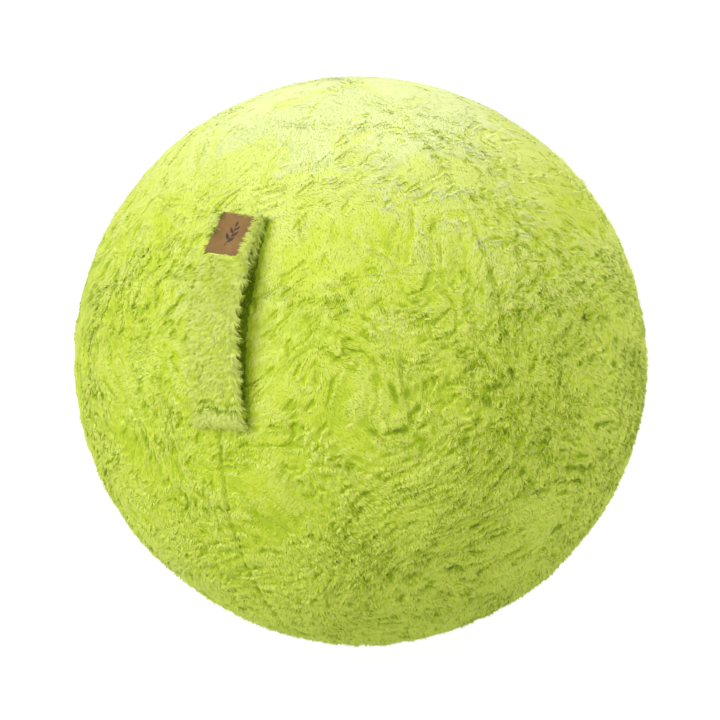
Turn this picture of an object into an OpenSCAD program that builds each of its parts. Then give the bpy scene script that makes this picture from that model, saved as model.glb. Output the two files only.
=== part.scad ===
// Plush-covered exercise ball for sitting on, with a sewn carry strap and a zipped cover.
// Millimetres, +Z up. The origin is the centre of the flat patch that the ball rests on.
// The strap lies along the -Y side, and the cover's zip along the +Y side.
// Places round the ball are given as latitudes: 0 at the equator, 90 at the top.

/* [Ball] */
// Diameter of the ball over the pile of its cover
ball_d = 646; // [600:1:700]
// Radius of the flat patch that rests on the floor
rest_r = 40; // [30:1:45]
// Thickness of the plush cover with its pile
cover_t = 8; // [8:0.5:10]
// Wall of the inflated inner ball
inner_wall = 0.8; // [0.6:0.1:2]
// Play between the inner ball and its cover
inner_play = 0.3; // [0.2:0.1:0.5]
// Width of a sewn seam between two gores
seam_w = 1; // [0.6:0.1:1.4]

/* [Valve] */
// Latitude of the air valve, in degrees
valve_lat = -25; // [-40:1:-10]
// Radius of the recess round the valve
valve_recess_r = 15; // [14:0.5:18]
// Depth of that recess
valve_recess_h = 7; // [6:0.5:9]
// Radius of the plug's stem
plug_r = 4.45; // [4:0.05:5]

/* [Zip] */
// Latitude of the zip's lower end, in degrees
zip_low = -60; // [-62:1:-45]
// Latitude of the zip's upper end, in degrees
zip_high = 10; // [0:1:20]
// Width of one zip tape
tape_w = 14; // [12:1:18]
// Half the width of the slot that the gores leave over the teeth
slot_half = 5.6; // [5.2:0.1:7]
// Length of the pull tab
pull_len = 22; // [16:1:28]

/* [Strap] */
// Latitude of the strap's lower sewn end, in degrees
strap_low = 1; // [-2:1:4]
// Latitude of the strap's upper sewn end, in degrees
strap_high = 43; // [40:1:46]
// Width of the plush strap
strap_w = 58; // [50:1:66]
// Thickness of the plush strap with its pile
strap_t = 8; // [6:0.5:10]
// Width of the webbing under the plush
webbing_w = 40; // [30:1:46]
// Thickness of the webbing
webbing_t = 2; // [1.5:0.1:2.5]
// Gap for a hand under the middle of the strap
strap_gap = 18; // [18:1:30]
// Lean of the strap across its seam, in degrees, with its upper end towards -X
strap_lean = 2.5; // [0:0.5:4]
// Length of the middle part that lifts by hand
grip_len = 96; // [80:1:100]

/* [Label] */
// Width of the leatherette label
label_w = 45; // [38:1:46]
// Length of the label along the strap
label_len = 52; // [44:1:53]
// Thickness of the label
label_t = 1.2; // [1:0.1:2]
// Turn of the label on the strap, clockwise seen from outside, in degrees
label_turn = 7; // [0:1:8]
// Distance from the strap's upper end down to the label's middle
label_drop = 30; // [30:1:34]
// Distance from the strap's middle line to the label's middle, towards -X
label_shift = 3.5; // [0:0.5:4]
// Distance from one stitch to the next
stitch_pitch = 4; // [3.5:0.5:5]

/* [Hidden] */
$fn = 120;

// Ball
ball_r = ball_d / 2;
cover_in_r = ball_r - cover_t;
inner_r = cover_in_r - inner_play;
centre_z = sqrt(ball_r * ball_r - rest_r * rest_r);
gore_count = 6;
gore_angle = 360 / gore_count;
far = 2 * ball_r;
thread_rise = 1;
thread_r = cover_in_r + thread_rise;
thread_t = 1;
thread_lat = 88;

// Valve, measured outwards from the inner ball's surface
valve_bush_r = 9;
valve_flange_r = 12;
valve_flange_h = 1.5;
valve_bush_len = 15;
valve_wall = 1.5;
valve_floor = 2;
plug_play = 0.05;
plug_head_r = 8;
plug_head_h = 1.8;
plug_head_gap = 0.3;
plug_tip_len = 13;

// Zip, measured outwards from the cover's inside
plate_t = 1;
plate_low = 0.4;
tape_low = 1.8;
tape_t = 0.6;
coil_low = tape_low + tape_t;
coil_h = 2.2;
coil_in = 0.8;
coil_out = 3.2;
top_plate_low = coil_low + coil_h + 0.4;
top_plate_high = top_plate_low + plate_t;
zip_end_lat = 4.2;
slot_end_lat = 4.5;
stop_lat = 0.5;
slider_half_lat = 1;
slider_half_w = 4.4;
slider_lip = 0.7;
slider_lip_low = coil_low + 0.5;
post_half_w = 0.5;
post_lat = 0.5;
slider_lat = zip_high - slider_half_lat - 0.1;
pin_r = 0.55;
pin_play = 0.07;
pin_high = top_plate_high + 1.4;
lug_in = 2.2;
lug_out = 3.2;
lug_r = 1.1;
knuckle_half_w = 1.9;
pull_neck_len = 6;
pull_tab_start = 5;
pull_half_w = 3.4;
pull_t = 1.4;

// Strap
strap_mid = (strap_low + strap_high) / 2;
strap_steps = 32;
strap_clear = 0.1;
cut_half = 0.3;
tack_t = 0.5;
tack_w = 0.8;
tack_row_w = strap_w - 8;
tack_upper_lat = strap_high - 0.1;
tack_lower_lats = [strap_low + 0.5, strap_low + 2];
stitch_len = 2.6;
stitch_t = 0.4;
label_r = ball_r + webbing_t + strap_t;
label_mid = strap_high - lat_along(label_drop);
label_reach = label_len / 2 + label_w * sin(label_turn);
label_inset = 2;
sewn_clear = 0.15;
slope_step = 0.5;

// Radius of the strap's underside at a latitude: it lies on the ball at both sewn ends
// and arches away from it in between.
function strap_r(lat) =
    ball_r + strap_clear + strap_gap * pow(sin(180 * (lat - strap_low) / (strap_high - strap_low)), 2);

// Angle by which the strap rises off the ball's curve at a latitude.
function strap_tilt(lat) =
    atan((strap_r(lat + slope_step) - strap_r(lat - slope_step)) / (strap_r(lat) * slope_step * PI / 90));

function lat_at(i, low, high) = low + (high - low) * i / strap_steps;

// Latitudes that a distance along the strap takes.
function lat_along(distance) = distance / label_r * 180 / PI;

function polar(r, lat) = [r * cos(lat), r * sin(lat)];

// ---- helpers -------------------------------------------------------------------------

// Puts what follows round the ball's centre, with a chosen azimuth turned to +Y.
module around_ball(azimuth = 0) {
    translate([0, 0, centre_z]) rotate([0, 0, azimuth]) children();
}

// Turns a profile drawn flat into the plane of the +Y meridian.
module on_meridian() {
    rotate([90, 0, 90]) children();
}

// A bar that follows the +Y meridian, between two radii, two latitudes and two sides.
module meridian_bar(r1, r2, x1, x2, lat1, lat2) {
    on_meridian()
        rotate_extrude(angle = lat2 - lat1, start = lat1)
            translate([r1, x1])
                square([r2 - r1, x2 - x1]);
}

// Puts what follows on the +Y meridian: its +Z points outwards and its +Y down the ball.
module at_latitude(r, lat) {
    rotate([lat, 0, 0]) translate([0, r, 0]) rotate([-90, 0, 0]) children();
}

// Turns what is built on the +Y meridian to the strap's place, with the strap's lean.
module on_strap() {
    around_ball(180)
        rotate([strap_mid, 0, 0]) rotate([0, strap_lean, 0]) rotate([-strap_mid, 0, 0]) children();
}

// A layer of the strap between two heights above its underside.
module strap_layer(h1, h2, width, lat1, lat2) {
    below = [for (i = [0:strap_steps]) let (lat = lat_at(i, lat1, lat2)) polar(strap_r(lat) + h1, lat)];
    above = [for (i = [strap_steps:-1:0]) let (lat = lat_at(i, lat1, lat2)) polar(strap_r(lat) + h2, lat)];
    on_strap()
        on_meridian()
            linear_extrude(height = width, center = true)
                polygon(concat(below, above));
}

// The strap's middle part lies between two cuts that run straight outwards, so that it can
// lift without touching the ends. The side is 1 above it and -1 below it.
module grip_zone(half_len) {
    on_strap()
        rotate([strap_mid, 0, 0])
            translate([-far / 2, 0, -half_len])
                cube([far, far, 2 * half_len]);
}

module end_zone(side) {
    on_strap()
        rotate([strap_mid, 0, 0])
            translate([-far / 2, 0, side > 0 ? grip_len / 2 + cut_half : -far - grip_len / 2 - cut_half])
                cube([far, far, far]);
}

// ---- cover ---------------------------------------------------------------------------

module cover_shell() {
    difference() {
        sphere(r = ball_r);
        sphere(r = cover_in_r);
        translate([-far, -far, -far - centre_z]) cube([2 * far, 2 * far, far]);
    }
}

// One gore: a sector of the shell, with half of the groove of the seam at each of its sides.
module cover_gore(azimuth) {
    color("yellowgreen")
        around_ball(azimuth)
            difference() {
                intersection() {
                    cover_shell();
                    translate([0, 0, -far / 2])
                        linear_extrude(height = far)
                            polygon([
                                [0, 0],
                                [far, -far * tan(gore_angle / 2)],
                                [far, far * tan(gore_angle / 2)]
                            ]);
                }
                for (side = [-1, 1]) {
                    rotate([0, 0, side * gore_angle / 2 - 90]) seam_groove();
                }
            }
}

// The groove of one seam. It stops short of the poles, where the gores' tips meet.
module seam_groove() {
    meridian_bar(cover_in_r - 1, ball_r + 1, -seam_w / 2, seam_w / 2, -thread_lat, thread_lat);
}

// The slot for the teeth and the shallower step in which the zip's tapes are sewn.
module zip_slot() {
    around_ball() {
        meridian_bar(cover_in_r - 1, ball_r + 1, -slot_half, slot_half,
            zip_low - slot_end_lat, zip_high + slot_end_lat);
        meridian_bar(cover_in_r - 1, cover_in_r + coil_low, -tape_w - coil_in, tape_w + coil_in,
            zip_low - slot_end_lat, zip_high + slot_end_lat);
    }
}

module gore_front_left() { cover_gore(240); }
module gore_front_right() { cover_gore(300); }
module gore_right() { cover_gore(0); }
module gore_left() { cover_gore(180); }

module gore_back_right() {
    difference() {
        cover_gore(60);
        zip_slot();
    }
}

module gore_back_left() {
    difference() {
        cover_gore(120);
        zip_slot();
    }
}

module seam_thread_arc(lat1, lat2) {
    meridian_bar(thread_r, thread_r + thread_t, -seam_w / 2, seam_w / 2, lat1, lat2);
}

// The zip's seam is sewn only above and below the zip.
module seam_thread() {
    color("olivedrab") {
        for (i = [1:gore_count - 1]) {
            around_ball(i * gore_angle) seam_thread_arc(-thread_lat, thread_lat);
        }
        around_ball() {
            seam_thread_arc(-thread_lat, zip_low - slot_end_lat);
            seam_thread_arc(zip_high + slot_end_lat, thread_lat);
        }
    }
}

// ---- inner ball and valve ------------------------------------------------------------

module at_valve() {
    around_ball() at_latitude(inner_r, valve_lat) children();
}

module inner_ball() {
    floor_z = -valve_recess_h - valve_floor;
    color("lightgray")
        difference() {
            union() {
                around_ball()
                    difference() {
                        sphere(r = inner_r);
                        sphere(r = inner_r - inner_wall);
                    }
                intersection() {
                    around_ball() sphere(r = inner_r);
                    at_valve()
                        translate([0, 0, floor_z])
                            cylinder(r = valve_recess_r + valve_wall, h = -floor_z);
                }
            }
            at_valve()
                translate([0, 0, -valve_recess_h])
                    cylinder(r = valve_recess_r, h = 2 * valve_recess_h);
            at_valve()
                translate([0, 0, floor_z - 1])
                    cylinder(r = valve_bush_r + plug_play, h = valve_floor + 2);
        }
}

module valve_seat() {
    color("dimgray")
        at_valve()
            difference() {
                union() {
                    translate([0, 0, -valve_recess_h - valve_bush_len])
                        cylinder(r = valve_bush_r, h = valve_bush_len);
                    translate([0, 0, -valve_recess_h]) cylinder(r = valve_flange_r, h = valve_flange_h);
                }
                translate([0, 0, -valve_recess_h - valve_bush_len - 1])
                    cylinder(r = plug_r + plug_play, h = valve_bush_len + valve_flange_h + 2);
            }
}

module valve_plug() {
    head_z = -valve_recess_h + valve_flange_h + plug_head_gap;
    color("white")
        at_valve() {
            translate([0, 0, head_z - plug_tip_len]) cylinder(r = plug_r, h = plug_tip_len + plug_head_h);
            translate([0, 0, head_z]) cylinder(r = plug_head_r, h = plug_head_h);
        }
}

// ---- zip -----------------------------------------------------------------------------

module zip_tape(side) {
    x1 = side > 0 ? coil_in : -coil_in - tape_w;
    color("olivedrab")
        around_ball()
            meridian_bar(cover_in_r + tape_low, cover_in_r + coil_low, x1, x1 + tape_w,
                zip_low - zip_end_lat, zip_high + zip_end_lat);
}

module zip_coil(side) {
    x1 = side > 0 ? coil_in : -coil_out;
    color("darkolivegreen")
        around_ball()
            meridian_bar(cover_in_r + coil_low, cover_in_r + coil_low + coil_h, x1,
                x1 + coil_out - coil_in, zip_low, zip_high);
}

module zip_stop(lat1) {
    color("silver")
        around_ball()
            meridian_bar(cover_in_r + coil_low, cover_in_r + coil_low + coil_h, -coil_out, coil_out,
                lat1, lat1 + stop_lat);
}

module zip_tape_left() { zip_tape(-1); }
module zip_tape_right() { zip_tape(1); }
module zip_coil_left() { zip_coil(-1); }
module zip_coil_right() { zip_coil(1); }
module zip_top_stop() { zip_stop(zip_high); }
module zip_bottom_stop() { zip_stop(zip_low - stop_lat); }

// Two plates over and under the teeth, joined by a thin post that runs between them, with
// two lugs and a pin on top that carry the pull.
module zip_slider() {
    low = slider_lat - slider_half_lat;
    high = slider_lat + slider_half_lat;
    color("gray")
        around_ball() {
            meridian_bar(cover_in_r + plate_low, cover_in_r + plate_low + plate_t,
                -slider_half_w, slider_half_w, low, high);
            meridian_bar(cover_in_r + top_plate_low, cover_in_r + top_plate_high,
                -slider_half_w, slider_half_w, low, high);
            meridian_bar(cover_in_r + plate_low, cover_in_r + top_plate_high,
                -post_half_w, post_half_w, high - post_lat, high);
            for (side = [-1, 1]) {
                lip_x = side > 0 ? slider_half_w - slider_lip : -slider_half_w;
                meridian_bar(cover_in_r + slider_lip_low, cover_in_r + top_plate_high,
                    lip_x, lip_x + slider_lip, low, high);
                lug_x = side > 0 ? lug_in : -lug_out;
                at_latitude(cover_in_r + pin_high, slider_lat)
                    translate([lug_x, 0, 0])
                        rotate([0, 90, 0])
                            cylinder(r = lug_r, h = lug_out - lug_in);
                at_latitude(cover_in_r + pin_high, slider_lat)
                    translate([lug_x, -lug_r, top_plate_low - pin_high + plate_t / 2])
                        cube([lug_out - lug_in, 2 * lug_r, pin_high - top_plate_low - plate_t / 2]);
            }
            at_latitude(cover_in_r + pin_high, slider_lat)
                rotate([0, 90, 0])
                    cylinder(r = pin_r, h = 2 * lug_in + 1, center = true);
        }
}

module zip_pull() {
    color("darkgoldenrod")
        around_ball()
            at_latitude(cover_in_r + pin_high, slider_lat)
                difference() {
                    union() {
                        rotate([0, 90, 0]) cylinder(r = lug_r, h = 2 * knuckle_half_w, center = true);
                        translate([-knuckle_half_w, 0, -pull_t / 2])
                            cube([2 * knuckle_half_w, pull_neck_len, pull_t]);
                        translate([-pull_half_w, pull_tab_start, -pull_t / 2])
                            cube([2 * pull_half_w, pull_len - pull_tab_start - pull_half_w, pull_t]);
                        translate([0, pull_len - pull_half_w, -pull_t / 2])
                            cylinder(r = pull_half_w, h = pull_t);
                    }
                    rotate([0, 90, 0]) cylinder(r = pin_r + pin_play, h = far, center = true);
                }
}

// ---- strap ---------------------------------------------------------------------------

module strap_plush() {
    strap_layer(webbing_t, webbing_t + strap_t, strap_w, strap_low, strap_high);
}

module strap_webbing() {
    strap_layer(0, webbing_t, webbing_w, strap_low, strap_high);
}

module strap_upper() {
    color("yellowgreen") intersection() { strap_plush(); end_zone(1); }
}

module strap_grip() {
    color("greenyellow") intersection() { strap_plush(); grip_zone(grip_len / 2 - cut_half); }
}

module strap_lower() {
    color("yellowgreen") intersection() { strap_plush(); end_zone(-1); }
}

module strap_webbing_upper() {
    color("olivedrab") intersection() { strap_webbing(); end_zone(1); }
}

module strap_webbing_grip() {
    color("olivedrab") intersection() { strap_webbing(); grip_zone(grip_len / 2 - cut_half); }
}

module strap_webbing_lower() {
    color("olivedrab") intersection() { strap_webbing(); end_zone(-1); }
}

// Puts what follows on the strap at a latitude, a distance to its side and a height.
module at_strap(lat, side, height) {
    on_strap()
        at_latitude(strap_r(lat) + height, lat)
            rotate([-strap_tilt(lat), 0, 0])
                translate([side, 0, 0])
                    children();
}

// A row of stitches across the strap at one latitude.
module stitch_row(lat, height, width, thick) {
    count = floor((width - stitch_len) / stitch_pitch);
    at_strap(lat, 0, height)
        for (i = [0:count]) {
            translate([(i - count / 2) * stitch_pitch - stitch_len / 2, -tack_w / 2, 0])
                cube([stitch_len, tack_w, thick]);
        }
}

module strap_tack_upper() {
    color("olive")
        stitch_row(tack_upper_lat, webbing_t + strap_t + sewn_clear, tack_row_w, tack_t);
}

module strap_tack_lower() {
    color("olive")
        for (lat = tack_lower_lats) {
            stitch_row(lat, webbing_t + strap_t + sewn_clear, tack_row_w, tack_t);
        }
}

// ---- label ---------------------------------------------------------------------------

// The layer over the strap's upper end, cut along the label's turned outline.
module label() {
    under = webbing_t + strap_t + sewn_clear;
    color("tan")
        intersection() {
            strap_layer(under, under + label_t, label_w + 2 * label_len,
                label_mid - lat_along(label_reach), strap_high);
            at_strap(label_mid, label_shift, under)
                rotate([0, 0, -label_turn])
                    translate([-label_w / 2, -label_len / 2, -strap_t])
                        cube([label_w, label_len, 2 * strap_t]);
        }
}

// One stitch at a place on the turned label, x across it and y down it from its middle.
module label_stitch(x, y, turn) {
    side = label_shift + x * cos(label_turn) + y * sin(label_turn);
    down = y * cos(label_turn) - x * sin(label_turn);
    at_strap(label_mid - lat_along(down), side, webbing_t + strap_t + label_t + 2 * sewn_clear)
        rotate([0, 0, turn - label_turn])
            translate([-stitch_len / 2, -tack_w / 2, 0])
                cube([stitch_len, tack_w, stitch_t]);
}

module label_thread() {
    across = floor((label_w - 2 * label_inset - stitch_len) / stitch_pitch);
    along = floor((label_len - 2 * label_inset - 2 * stitch_pitch) / stitch_pitch);
    color("saddlebrown")
        for (edge = [-1, 1]) {
            for (i = [0:across]) {
                label_stitch((i - across / 2) * stitch_pitch, edge * (label_len / 2 - label_inset), 0);
            }
            for (i = [0:along]) {
                label_stitch(edge * (label_w / 2 - label_inset), (i - along / 2) * stitch_pitch, 90);
            }
        }
}

gore_front_left();
gore_front_right();
gore_right();
gore_back_right();
gore_back_left();
gore_left();
seam_thread();
inner_ball();
valve_seat();
valve_plug();
zip_tape_left();
zip_tape_right();
zip_coil_left();
zip_coil_right();
zip_top_stop();
zip_bottom_stop();
zip_slider();
zip_pull();
strap_upper();
strap_grip();
strap_lower();
strap_webbing_upper();
strap_webbing_grip();
strap_webbing_lower();
strap_tack_upper();
strap_tack_lower();
label();
label_thread();
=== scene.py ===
"""A plush-covered exercise ball with a carry strap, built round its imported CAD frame.

Lengths are in metres in the frame's own axes: +Z up, the strap on the -Y side and the zip on
the +Y side. Places on the ball are unit directions from its centre, or a latitude and an
azimuth in degrees. Places on the strap are a latitude, a distance to its side and a height
over its underside.
"""
import itertools
import math

import bpy
import numpy as np
from mathutils import Euler, Matrix, Vector


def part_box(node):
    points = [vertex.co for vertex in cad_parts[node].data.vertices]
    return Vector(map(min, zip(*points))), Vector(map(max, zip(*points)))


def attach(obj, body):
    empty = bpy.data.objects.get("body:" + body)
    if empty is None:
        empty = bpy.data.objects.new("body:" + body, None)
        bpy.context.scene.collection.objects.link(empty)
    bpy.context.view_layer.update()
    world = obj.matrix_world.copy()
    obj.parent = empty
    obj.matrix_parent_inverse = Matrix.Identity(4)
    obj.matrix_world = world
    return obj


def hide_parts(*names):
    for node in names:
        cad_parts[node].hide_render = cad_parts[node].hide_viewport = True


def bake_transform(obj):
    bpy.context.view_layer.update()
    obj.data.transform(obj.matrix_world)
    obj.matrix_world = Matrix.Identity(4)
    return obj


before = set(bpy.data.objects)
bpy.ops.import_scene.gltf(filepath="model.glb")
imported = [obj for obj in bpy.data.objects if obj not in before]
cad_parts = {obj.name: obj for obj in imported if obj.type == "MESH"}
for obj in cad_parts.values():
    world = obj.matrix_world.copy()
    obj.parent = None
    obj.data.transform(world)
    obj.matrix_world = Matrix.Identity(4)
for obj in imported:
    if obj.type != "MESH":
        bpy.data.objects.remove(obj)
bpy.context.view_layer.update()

MM = 0.001

# ---- places taken from the frame -----------------------------------------------------------

GORES = {
    "gore_right": 0,
    "gore_back_right": 60,
    "gore_back_left": 120,
    "gore_left": 180,
    "gore_front_left": 240,
    "gore_front_right": 300,
}
BALL_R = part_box("gore_right")[1][0]
CENTRE = np.array([0.0, 0.0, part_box("gore_right")[1][2] - BALL_R])
COVER_IN_R = BALL_R - 8 * MM
HALF_GORE = 30.0
GORE_TIP = 89.8  # latitude at which the gores' points end

STRAP_LOW, STRAP_HIGH = 1.0, 43.0
STRAP_MID = (STRAP_LOW + STRAP_HIGH) / 2
STRAP_LEAN = 2.5
STRAP_GAP = 18 * MM
STRAP_WIDTH = 58 * MM
STRAP_CLEAR = 0.1 * MM
WEBBING_WIDTH = 40 * MM
WEBBING_T = 2 * MM
BEND_END = 6.0  # degrees either side of the strap's middle that lift without bending

LABEL_W = 45 * MM
LABEL_LEN = 52 * MM
LABEL_T = 1.2 * MM
LABEL_TURN = math.radians(7)  # clockwise, seen from outside
LABEL_SHIFT = 3.5 * MM  # towards -X
LABEL_R = BALL_R + 10 * MM
LABEL_MID = STRAP_HIGH - math.degrees(30 * MM / LABEL_R)

ZIP_LOW, ZIP_HIGH = -60.0, 10.0
ZIP_AZIMUTH = 90
SLOT_END = 4.5
SLOT_HALF = 5.6 * MM
COIL_LOW = COVER_IN_R + 2.4 * MM
COIL_SIZE = 2.2 * MM
COIL_IN, COIL_OUT = -0.25 * MM, 3.2 * MM  # the turns of the two coils hook into each other

# ---- look of the pile ----------------------------------------------------------------------

PILE_ROOT = 3.4 * MM  # how far under the cover's outer radius the pile grows
DEEPEST = -2.3 * MM  # lowest that a crease goes under the pile's roots
TUFT_COUNT = 580000
TUFT_LEN = 4.8 * MM
TUFT_WIDTH = 1.5 * MM
STRAP_TUFTS = 26000
# Two numbers each, for calm and for rough pile.
SOFTNESS = (0.91, 0.76)  # how much a tuft's shading follows the cloth under it
STEEPER = (0.7, 2.2)  # how much more the tufts tilt than the cloth under them
TUFT_SPREAD = (0.14, 0.34)  # how far neighbours point apart, in radians
TUFT_LIFT = (7, 13)  # how far the tufts rise off the cloth, in degrees
LIFT_LIMITS = (3, 35)
CRUSH_WAY = np.array([0.58, 0.50, 0.64])  # the way most creases of the crushed pile run
PAINTED_LIGHT_WAY = np.array([-0.35, -0.2, 0.9])  # the way the painted light comes from: folds whose slopes face this way are painted paler, and those that face away darker
CALM_WAY = np.array([0.37, -0.92, 0.12])  # the middle of the calm pile beside the strap
ROUGH_WAY = np.array([0.90, -0.28, -0.33])  # the middle of the roughest pile
# Folds of the cover. Their spacing is about the ball's radius over their scale, and heights are in mm.
FOLD_SCALE = {"swell": 4, "crease": 5.2, "lump": 13, "crumple": 20, "pit": 29, "crinkle": 38}
FOLD_HEIGHT = {"swell": 1.1, "crease": 1.6, "lump": 1.5, "crumple": 1.2, "pit": 2.2, "crinkle": 0.9}
SEAM_DEPTH = 1.5  # mm
SEAM_SPREAD = 2.6 * MM
# Places where the air-filled ball is a little slack: a direction, a depth and a half width in degrees.
DENTS = [
    ((-0.45, -0.46, -0.76), 3.0 * MM, 24),
    ((-0.12, 0.21, 0.97), 2.0 * MM, 22),
    ((0.34, 0.42, 0.84), 2.0 * MM, 16),
]

# ---- numbers --------------------------------------------------------------------------------


class Noise:
    """Smooth gradient noise in three dimensions, from about -1 to 1, for arrays of points."""

    def __init__(self, seed):
        rng = np.random.default_rng(seed)
        self.table = rng.permutation(256)
        slopes = rng.normal(size=(256, 3))
        self.slopes = slopes / np.linalg.norm(slopes, axis=1, keepdims=True)

    def __call__(self, points):
        cell = np.floor(points).astype(np.int64)
        inside = points - cell
        ease = inside * inside * inside * (inside * (inside * 6 - 15) + 10)
        total = np.zeros(len(points))
        for corner in itertools.product((0, 1), repeat=3):
            at = (cell + corner) & 255
            pick = self.table[(self.table[(self.table[at[:, 0]] + at[:, 1]) & 255] + at[:, 2]) & 255]
            weight = np.ones(len(points))
            for axis in range(3):
                weight = weight * (ease[:, axis] if corner[axis] else 1 - ease[:, axis])
            total += weight * ((inside - corner) * self.slopes[pick]).sum(axis=1)
        return total * 1.6


def unit(vectors):
    return vectors / np.maximum(np.linalg.norm(vectors, axis=-1, keepdims=True), 1e-12)


def smooth(x, low, high):
    t = np.clip((x - low) / (high - low), 0, 1)
    return t * t * (3 - 2 * t)


def mix(a, b, share):
    return a + (b - a) * share


def bell(x, width):
    """1 where x is 0, falling smoothly to 0 over a few widths."""
    return np.exp(-((x / width) ** 2))


def directions(count, jitter, rng):
    """Evenly spread unit directions, each moved a little."""
    i = np.arange(count) + 0.5
    z = 1 - 2 * i / count
    turn = math.pi * (1 + math.sqrt(5)) * i
    flat = np.sqrt(1 - z * z)
    out = np.stack([flat * np.cos(turn), flat * np.sin(turn), z], axis=1)
    return unit(out + rng.normal(size=out.shape) * jitter * math.sqrt(4 * math.pi / count))


def sphere_axes(u):
    """Unit directions up the ball and to the side, at each direction u."""
    up = np.array([0.0, 0.0, 1.0]) - u * u[:, 2:3]
    up = unit(np.where(np.linalg.norm(up, axis=1, keepdims=True) < 1e-4, [[1.0, 0.0, 0.0]], up))
    return up, np.cross(up, u)


def latitude(u):
    return np.degrees(np.arcsin(np.clip(u[:, 2], -1, 1)))


# ---- fields over the ball --------------------------------------------------------------------

swell_noise, lump_noise, crumple_noise, pit_noise = Noise(3), Noise(5), Noise(7), Noise(9)
warp_noises = [Noise(11), Noise(12), Noise(13)]
crease_noise, mask_noise, turn_noise, swirl_noise = Noise(17), Noise(23), Noise(29), Noise(31)
shade_noise, wisp_noise, strap_noise, fine_noise = Noise(37), Noise(43), Noise(47), Noise(59)


def warped(u, scale=2.6, amount=0.16):
    """u moved by slow noise, so that lines drawn through it wander."""
    return u + amount * np.stack([n(u * scale) for n in warp_noises], axis=1)


def drawn_out(points, share=0.45):
    """points squeezed along the crush's way, which makes noise taken there long that way."""
    way = CRUSH_WAY / np.linalg.norm(CRUSH_WAY)
    return points - (1 - share) * (points @ way)[:, None] * way


def ruffle(u):
    """How ruffled the pile is: calm beside the strap and on the crown, rough low down towards +X."""
    patches = 0.3 * mask_noise(u * 3.1) + 0.55 * mask_noise(u * 8 + 3)
    base = 0.6 + patches - 0.4 * smooth(u[:, 2], 0.4, 0.95) + 0.25 * smooth(u[:, 2], -0.35, -0.8)
    base = base - 0.25 * smooth(u @ CALM_WAY, 0.8, 0.98) + 0.6 * smooth(u @ ROUGH_WAY, 0.3, 0.95)
    return np.clip(base, 0.1, 1.3)


def seam_distance(u):
    """Distance along the ball to the nearest seam."""
    azimuth = np.degrees(np.arctan2(u[:, 1], u[:, 0]))
    nearest = np.radians(np.round((azimuth - HALF_GORE) / 60) * 60 + HALF_GORE)
    return np.abs(-u[:, 0] * np.sin(nearest) + u[:, 1] * np.cos(nearest)) * BALL_R


def ridged(values):
    """Sharp ridges where the noise crosses 0, with round hollows between them."""
    return 1 - 2.2 * np.abs(values)


def dents(u):
    """How far the whole cover sinks in at the slack places."""
    total = 0
    for way, depth, half in DENTS:
        away = np.degrees(np.arccos(np.clip(u @ (np.array(way) / np.linalg.norm(way)), -1, 1)))
        total = total - depth * bell(away, half)
    return total


def crinkle(bent):
    """The finest folds of the crushed pile, from about -1 in a hollow to 1 on a ridge."""
    return ridged(fine_noise(drawn_out(bent * FOLD_SCALE["crinkle"], 0.6)))


def relief(u):
    """Height of the pile's roots above their mean radius."""
    rough = ruffle(u)
    bent = warped(u)
    crease = bell(crease_noise(bent * FOLD_SCALE["crease"]), 0.045)
    crease = crease * smooth(mask_noise(u * 4.3 + 9), -0.15, 0.4)
    pit = smooth(pit_noise(drawn_out(bent * FOLD_SCALE["pit"])), 0.2, 0.6)
    # Near the crown the pile has settled flat, and its folds are soft.
    settled = 1 - 0.6 * smooth(u[:, 2], 0.5, 0.98)
    sharp = smooth(u[:, 2], 0.8, -0.1)
    crumple = crumple_noise(drawn_out(bent * FOLD_SCALE["crumple"]))
    height = MM * (
        FOLD_HEIGHT["swell"] * swell_noise(u * FOLD_SCALE["swell"])
        + FOLD_HEIGHT["lump"] * settled * lump_noise(bent * FOLD_SCALE["lump"])
        + FOLD_HEIGHT["crumple"] * rough * mix(1.3 * crumple, ridged(crumple), sharp)
        + FOLD_HEIGHT["crinkle"] * rough**2 * mix(0.4, 1, sharp) * crinkle(bent)
        - FOLD_HEIGHT["crease"] * settled * crease
        - FOLD_HEIGHT["pit"] * settled * pit
        - SEAM_DEPTH * settled * bell(seam_distance(u), SEAM_SPREAD)
    )
    soft = 0.4 * MM
    return DEEPEST + soft * np.logaddexp(0, (height - DEEPEST) / soft) + dents(u)


def gradient(field, u, up, side, step=0.004):
    """A field's value, and how it changes up the ball and to the side."""
    here = field(u)
    return here, (field(u + up * step) - here) / step, (field(u + side * step) - here) / step


def lay(u, up, side):
    """The direction in which the pile lies, along the ball's surface."""
    angle = 1.6 * turn_noise(u * 3.3 + 4) + 0.9 * ruffle(u) * swirl_noise(u * 10)
    return -up * np.cos(angle)[:, None] + side * np.sin(angle)[:, None]


# ---- mesh building ----------------------------------------------------------------------------


def mesh_object(name, points, faces, materials, shade=None):
    """A smooth object made from points and faces that all have the same number of corners."""
    me = bpy.data.meshes.new(name)
    faces = np.asarray(faces, dtype=np.int32)
    count, corners = faces.shape
    me.vertices.add(len(points))
    me.vertices.foreach_set("co", np.asarray(points, dtype=np.float32).ravel())
    me.loops.add(count * corners)
    me.loops.foreach_set("vertex_index", faces.ravel())
    me.polygons.add(count)
    me.polygons.foreach_set("loop_start", np.arange(count, dtype=np.int32) * corners)
    if shade is not None:
        me.polygons.foreach_set("material_index", np.asarray(shade, dtype=np.int32))
    me.polygons.foreach_set("use_smooth", np.ones(count, dtype=bool))
    me.update(calc_edges=True)
    for material in materials:
        me.materials.append(material)
    obj = bpy.data.objects.new(name, me)
    bpy.context.scene.collection.objects.link(obj)
    return obj


def grid_faces(rows, columns, closed=False):
    """Quads of a grid whose points run row by row."""
    r, c = np.meshgrid(np.arange(rows - 1), np.arange(columns if closed else columns - 1), indexing="ij")
    a = (r * columns + c).ravel()
    b = (r * columns + (c + 1) % columns).ravel()
    return np.stack([a, b, b + columns, a + columns], axis=1)


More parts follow.
